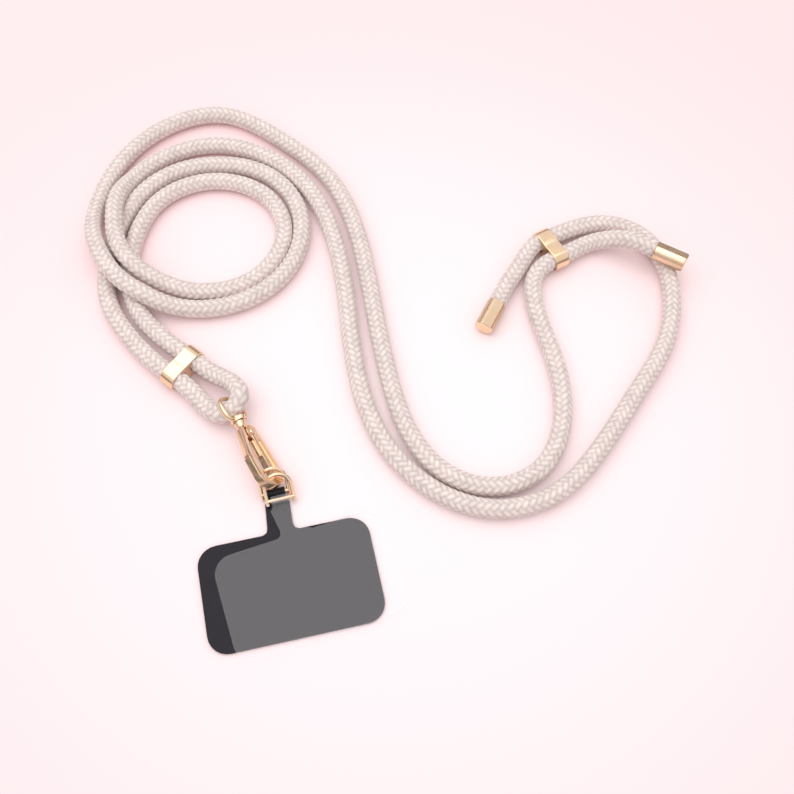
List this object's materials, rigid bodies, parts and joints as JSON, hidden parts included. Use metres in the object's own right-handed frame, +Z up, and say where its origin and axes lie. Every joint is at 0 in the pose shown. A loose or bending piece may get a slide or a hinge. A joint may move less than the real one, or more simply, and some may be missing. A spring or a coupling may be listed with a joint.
{
  "type": "phone crossbody strap",
  "caption": "Round braided crossbody cord, doubled through a swivel snap clasp, with keepers, end caps and card anchor patches on wire rings.",
  "frame": {"origin": "on the surface it lies on, under the middle of the metal and card pieces", "axes": "+Z up from the surface; +X and +Y along it, the patches at -Y and the two cord ends at +X"},
  "size_m": [0.2451, 0.2428, 0.0147],
  "materials": {
    "cord": "off-white round braid",
    "gold": "polished light rose gold",
    "black_card": "satin black",
    "clear_card": "clear flexible film"
  },
  "bodies": {
    "strap": {"rope": "cord", "clasp_keeper": "gold", "slider": "gold", "cap_left": "gold", "cap_right": "gold", "swivel_eye": "gold"},
    "hook": {"hook_body": "gold", "rivet": "gold", "ring_black": "gold", "ring_clear": "gold", "patch_black": "black_card", "patch_clear": "clear_card"},
    "gate": {"gate": "gold"}
  },
  "joints": [
    {"name": "swivel", "type": "hinge", "parent": "strap", "child": "hook", "pos_m": [-0.0712, -0.0023, 0.00705], "axis": [0.4968, -0.8675, -0.0244], "continuous": true},
    {"name": "gate_hinge", "type": "hinge", "parent": "hook", "child": "gate", "pos_m": [-0.0677, -0.0052, 0.00529], "axis": [0.6316, 0.3421, 0.6957], "range_deg": [0, 13], "stiffness_Nm_per_rad": 0.05, "springref_deg": -5.73}
  ]
}
